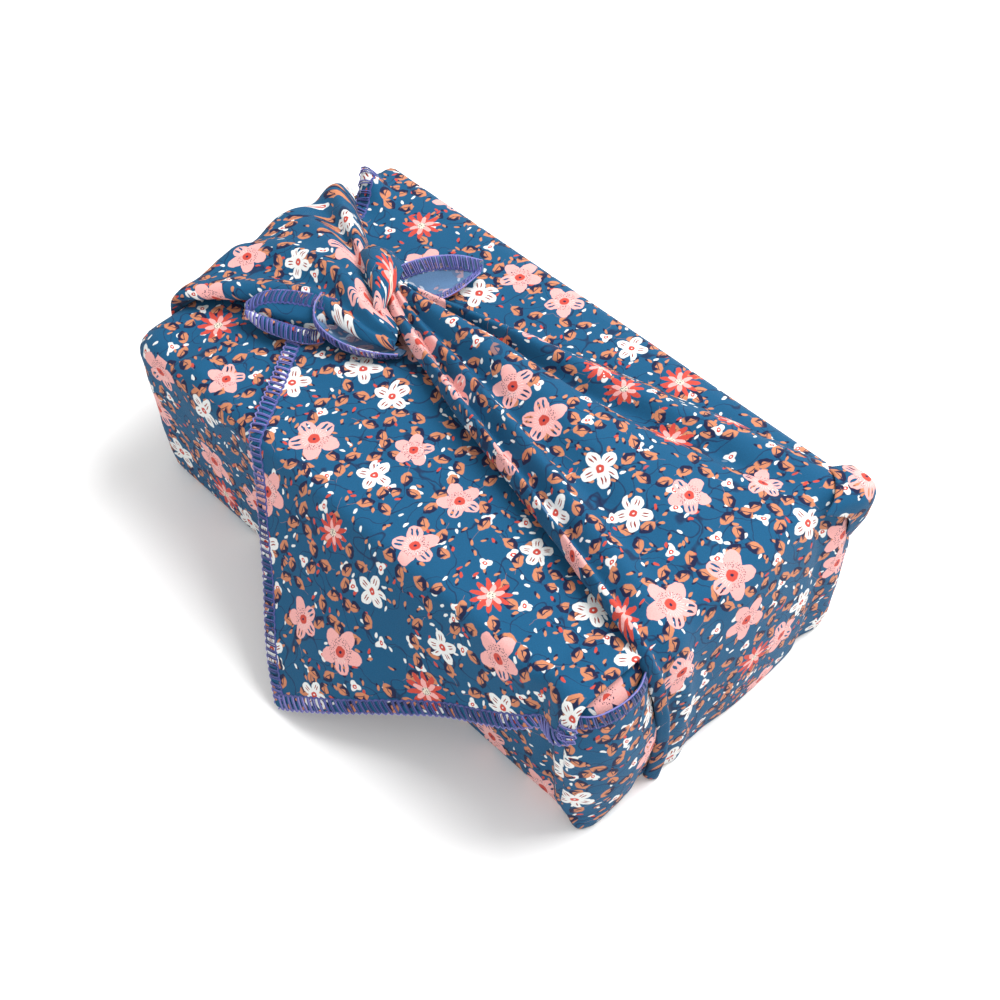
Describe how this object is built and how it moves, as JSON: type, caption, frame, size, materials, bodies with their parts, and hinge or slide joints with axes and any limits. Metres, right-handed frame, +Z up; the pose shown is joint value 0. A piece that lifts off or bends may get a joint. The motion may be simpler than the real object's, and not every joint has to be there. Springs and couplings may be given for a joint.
{
  "type": "furoshiki wrap tied round a box",
  "caption": "Square printed cotton cloth tied round a closed box: hemmed flap hanging in front, pleated strand, knot with two free tails.",
  "frame": {"origin": "centre of the flat underside of the wrapped box", "axes": "+X along the box towards the pleated end away from the knot, +Y towards the back side, +Z up; the hanging flap is on the -Y side"},
  "size_m": [0.2375, 0.173, 0.0997],
  "materials": {
    "printed_cotton": "matt woven cotton, teal blue with a small all-over flower print, overlocked hem in blue-violet thread",
    "carton": "plain uncoated carton board, hidden under the cloth"
  },
  "bodies": {
    "root": {"wrap": "printed_cotton", "box": "carton"}
  },
  "joints": []
}
